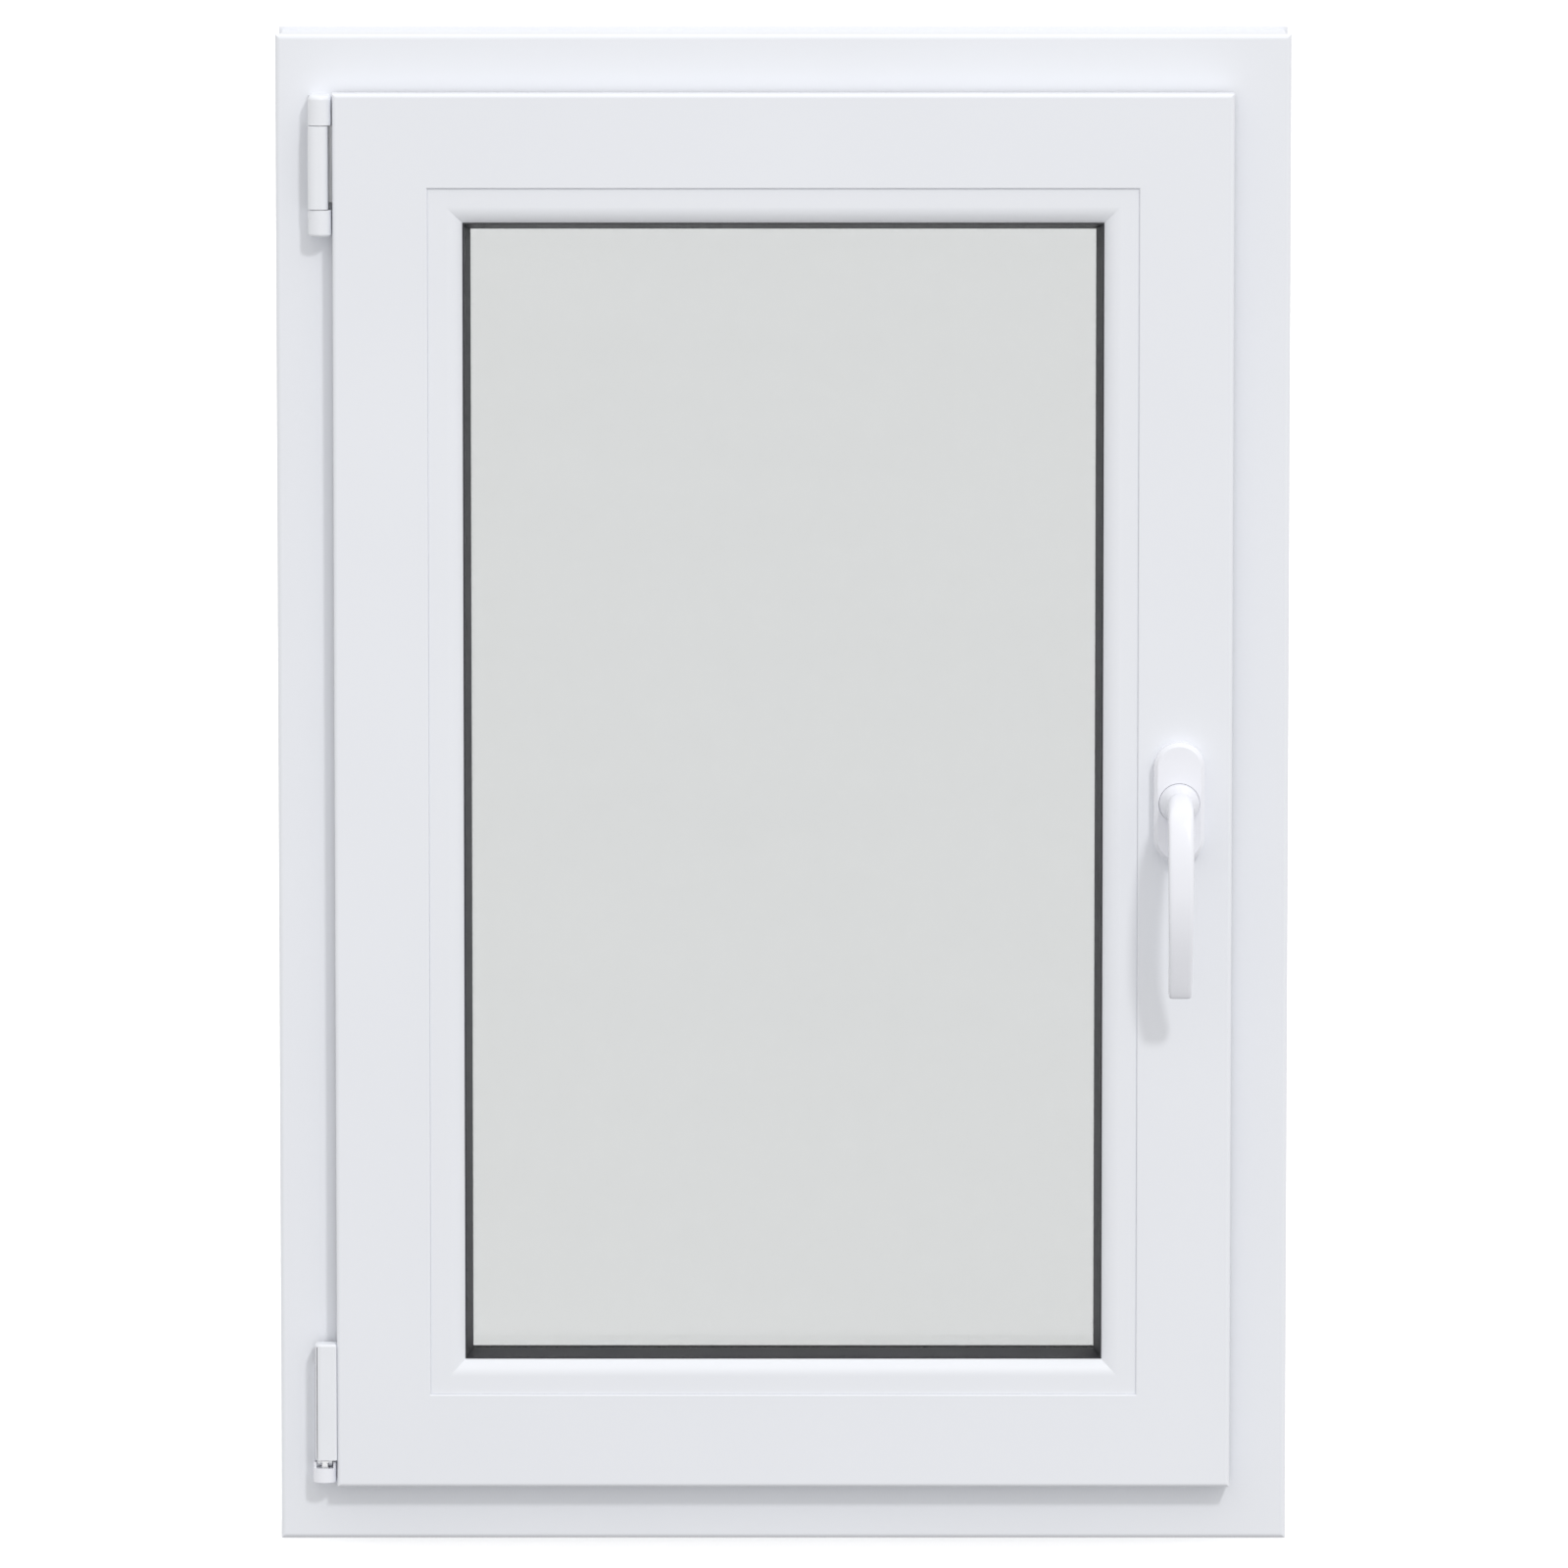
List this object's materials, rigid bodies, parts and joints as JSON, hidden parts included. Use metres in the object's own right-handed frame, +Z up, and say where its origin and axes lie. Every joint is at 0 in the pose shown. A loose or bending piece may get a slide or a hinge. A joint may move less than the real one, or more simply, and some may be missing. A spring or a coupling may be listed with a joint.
{
  "type": "tilt and turn casement window",
  "caption": "White framed casement window whose glazed sash swings in like a door or tilts in at the top, worked by one lever handle.",
  "frame": {"origin": "bottom centre of the fixed frame's outside face", "axes": "+X from the hinge side to the handle side seen from the room, +Y from the room to the outside, +Z up"},
  "size_m": [0.6, 0.1522, 0.9],
  "materials": {
    "white_pvcu": "smooth satin-gloss extruded PVC-U",
    "white_cap_plastic": "moulded satin plastic",
    "white_powder_coat": "satin powder coat on die-cast alloy",
    "zinc_plated_steel": "zinc-plated",
    "silver_hardware_steel": "silver-passivated, satin",
    "bright_pin_steel": "turned bright steel",
    "black_gasket_rubber": "extruded, matt",
    "clear_glass": "float glass",
    "spacer_aluminium": "mill finish",
    "edge_sealant": "gunned polysulphide",
    "packer_plastic": "moulded"
  },
  "bodies": {
    "frame": {"frame_head": "white_pvcu", "frame_sill": "white_pvcu", "frame_jamb_hinge": "white_pvcu", "frame_jamb_lock": "white_pvcu", "frame_reinforcement": "zinc_plated_steel", "frame_gasket": "black_gasket_rubber", "drain_caps": "white_pvcu", "stay_bearing": "silver_hardware_steel", "stay_bearing_pin": "bright_pin_steel", "stay_bearing_caps": "white_cap_plastic", "corner_bearing": "white_powder_coat", "bearing_screws": "zinc_plated_steel", "lock_keeps": "silver_hardware_steel", "top_keep": "silver_hardware_steel", "tilt_keep": "silver_hardware_steel", "keep_screws": "zinc_plated_steel"},
    "corner_pivot": {"corner_pivot_pin": "bright_pin_steel", "tilt_cross_pin": "bright_pin_steel"},
    "stay": {"stay_arm": "silver_hardware_steel", "stay_slide_pin": "bright_pin_steel", "stay_arm_cover": "white_cap_plastic"},
    "sash": {"sash_rail_top": "white_pvcu", "sash_rail_bottom": "white_pvcu", "sash_stile_hinge": "white_pvcu", "sash_stile_lock": "white_pvcu", "sash_reinforcement": "zinc_plated_steel", "sash_gasket": "black_gasket_rubber", "bead_top": "white_pvcu", "bead_bottom": "white_pvcu", "bead_left": "white_pvcu", "bead_right": "white_pvcu", "glass_gasket_room": "black_gasket_rubber", "glass_gasket_outside": "black_gasket_rubber", "glass_pane_room": "clear_glass", "glass_pane_outside": "clear_glass", "glass_spacer": "spacer_aluminium", "glass_edge_seal": "edge_sealant", "glazing_packers": "packer_plastic", "sash_hinge_leaf": "silver_hardware_steel", "sash_hinge_cap": "white_cap_plastic", "escutcheon_cover": "white_powder_coat", "escutcheon_base": "white_powder_coat", "escutcheon_screws": "zinc_plated_steel", "gearbox_housing": "silver_hardware_steel", "corner_drives": "silver_hardware_steel", "lock_faceplate": "silver_hardware_steel", "stay_guide": "silver_hardware_steel", "bottom_faceplate": "silver_hardware_steel", "hardware_screws": "zinc_plated_steel"},
    "handle": {"handle_lever": "white_powder_coat", "handle_spindle": "bright_pin_steel", "gear_pinion": "bright_pin_steel"},
    "lock_rod": {"lock_drive_rod": "silver_hardware_steel", "lock_cams": "bright_pin_steel"},
    "top_rod": {"top_drive_rod": "silver_hardware_steel", "top_cam": "bright_pin_steel"},
    "bottom_rod": {"bottom_drive_rod": "silver_hardware_steel", "bottom_cam": "bright_pin_steel"}
  },
  "joints": [
    {"name": "sash_turn", "type": "hinge", "parent": "frame", "child": "corner_pivot", "pos_m": [-0.2735, -0.081, 0.0485], "axis": [0, 0, -1], "range_deg": [0, 110]},
    {"name": "sash_tilt", "type": "hinge", "parent": "corner_pivot", "child": "sash", "pos_m": [-0.2735, -0.081, 0.0485], "axis": [1, 0, 0], "range_deg": [0, 6.5]},
    {"name": "stay_swing", "type": "hinge", "parent": "corner_pivot", "child": "stay", "pos_m": [-0.2735, -0.081, 0.822], "axis": [0, 0, -1], "range_deg": [0, 20.2]},
    {"name": "handle_turn", "type": "hinge", "parent": "sash", "child": "handle", "pos_m": [0.2345, -0.098, 0.446], "axis": [0, 1, 0], "range_deg": [0, 180]},
    {"name": "lock_rod_slide", "type": "slide", "parent": "sash", "child": "lock_rod", "axis": [0, 0, -1], "range_m": [0, 0.0252]},
    {"name": "top_rod_slide", "type": "slide", "parent": "sash", "child": "top_rod", "axis": [1, 0, 0], "range_m": [0, 0.0252]},
    {"name": "bottom_rod_slide", "type": "slide", "parent": "sash", "child": "bottom_rod", "axis": [-1, 0, 0], "range_m": [0, 0.0252]}
  ],
  "couplings": [
    {"joint": "stay_swing", "follows": "sash_tilt", "ratio": 3.09},
    {"joint": "lock_rod_slide", "follows": "handle_turn", "m_per_rad": 0.008},
    {"joint": "top_rod_slide", "follows": "handle_turn", "m_per_rad": 0.008},
    {"joint": "bottom_rod_slide", "follows": "handle_turn", "m_per_rad": 0.008}
  ]
}
